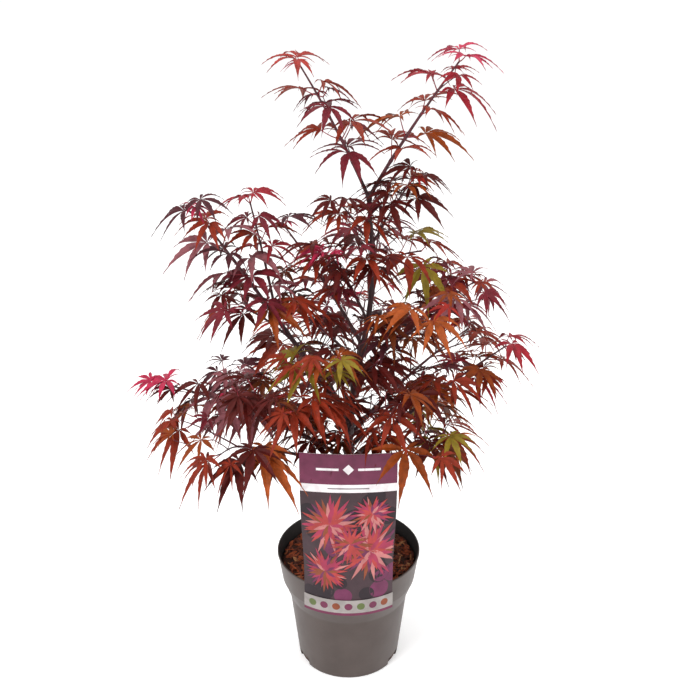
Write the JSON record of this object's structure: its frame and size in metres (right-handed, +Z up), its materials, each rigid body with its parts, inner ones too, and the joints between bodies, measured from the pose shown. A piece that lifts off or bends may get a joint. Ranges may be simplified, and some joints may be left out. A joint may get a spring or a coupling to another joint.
{
  "type": "potted japanese maple",
  "caption": "Young Japanese maple with finely cut red and purple leaves on thin boughs, in a round plastic nursery pot of bark compost with a curved plant label.",
  "frame": {"origin": "centre of the pot's flat underside", "axes": "+Z up along the pot's axis, -Y towards the front where the label hangs, +X to the right seen from the front"},
  "size_m": [0.5201, 0.388, 0.8291],
  "materials": {
    "pot": "satin taupe polypropylene",
    "compost": "rough bark chips",
    "label": "satin printed plastic",
    "bark": "smooth dark young bark",
    "leaf_bronze": "soft leaf",
    "leaf_crimson": "soft leaf",
    "leaf_olive": "soft leaf",
    "leaf_purple": "soft leaf",
    "leaf_red": "soft leaf"
  },
  "bodies": {
    "root": {"pot": "pot", "compost": "compost", "plant_label": "label", "trunk": "bark", "bough_leader_left": "bark", "bough_leader_right": "bark", "bough_spur_right": "bark", "bough_spur_left": "bark", "bough_twig_right": "bark", "bough_centre_front": "bark", "bough_crown_back": "bark", "bough_left_upper": "bark", "bough_left_fork": "bark", "bough_left_inner": "bark", "bough_left_mid": "bark", "bough_left_low": "bark", "bough_left_front": "bark", "bough_left_back": "bark", "bough_right_upper": "bark", "bough_right_upper_front": "bark", "bough_right_mid": "bark", "bough_right_low": "bark", "bough_right_front": "bark", "bough_right_back": "bark", "bough_front_left": "bark", "bough_front_mid": "bark", "bough_front_right": "bark", "bough_back_left": "bark", "bough_back_mid": "bark", "bough_back_right": "bark", "bough_mid_left": "bark", "bough_front_low": "bark", "leaves_leader_left": "leaf_crimson", "leaves_leader_right": "leaf_crimson", "leaves_spur_right": "leaf_red", "leaves_spur_left": "leaf_red", "leaves_twig_right": "leaf_olive", "leaves_centre_front": "leaf_red", "leaves_crown_back": "leaf_purple", "leaves_left_upper": "leaf_purple", "leaves_left_fork": "leaf_crimson", "leaves_left_inner": "leaf_purple", "leaves_left_mid": "leaf_red", "leaves_left_low": "leaf_purple", "leaves_left_front": "leaf_bronze", "leaves_left_back": "leaf_purple", "leaves_right_upper": "leaf_crimson", "leaves_right_upper_front": "leaf_bronze", "leaves_right_mid": "leaf_crimson", "leaves_right_low": "leaf_olive", "leaves_right_front": "leaf_bronze", "leaves_right_back": "leaf_red", "leaves_front_left": "leaf_red", "leaves_front_mid": "leaf_bronze", "leaves_front_right": "leaf_red", "leaves_back_left": "leaf_red", "leaves_back_mid": "leaf_purple", "leaves_back_right": "leaf_bronze", "leaves_mid_left": "leaf_red", "leaves_front_low": "leaf_bronze"}
  },
  "joints": []
}
